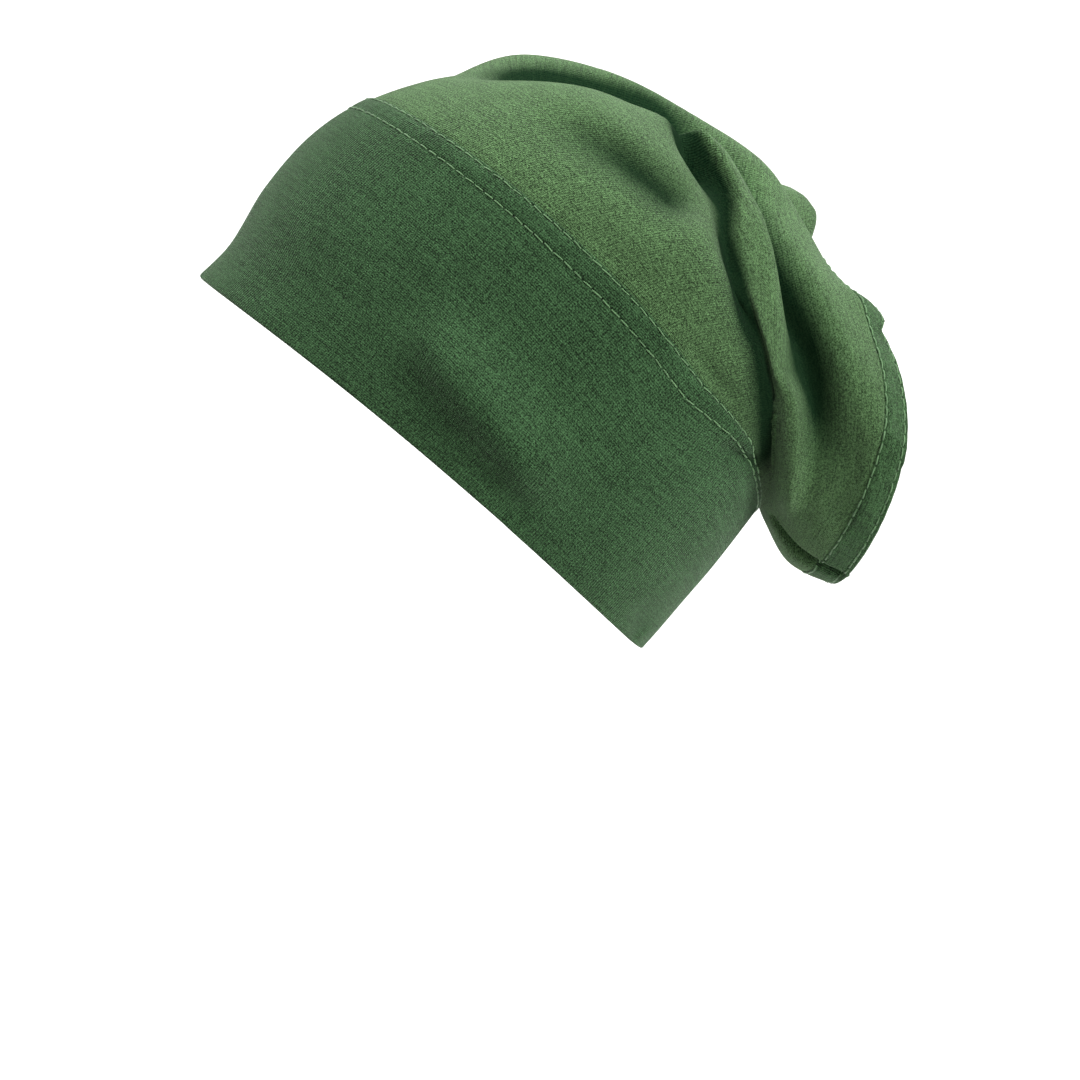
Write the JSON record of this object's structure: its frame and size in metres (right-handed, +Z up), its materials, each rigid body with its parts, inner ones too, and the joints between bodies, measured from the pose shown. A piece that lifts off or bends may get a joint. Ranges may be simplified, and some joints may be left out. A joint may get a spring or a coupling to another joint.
{
  "type": "hijab underscarf cap",
  "caption": "Jersey underscarf cap, worn: a doubled band round the face opening, a soft folded crown and an open hemmed tail at the back.",
  "frame": {"origin": "inside the crown on its middle line, where the top of a head comes to", "axes": "+Z up, out of the top of a head; the face opening looks along -Y and the tail hangs at +Y; +X is the wearer's left"},
  "size_m": [0.1575, 0.2405, 0.2116],
  "materials": {
    "band_jersey": "matte two-layer jersey, fine crosswise grain",
    "crown_jersey": "matte single-layer jersey with fine ribs",
    "green_thread": "matte sewing thread"
  },
  "bodies": {
    "root": {"front_band": "band_jersey", "crown": "crown_jersey", "back_hem": "crown_jersey"}
  },
  "joints": []
}
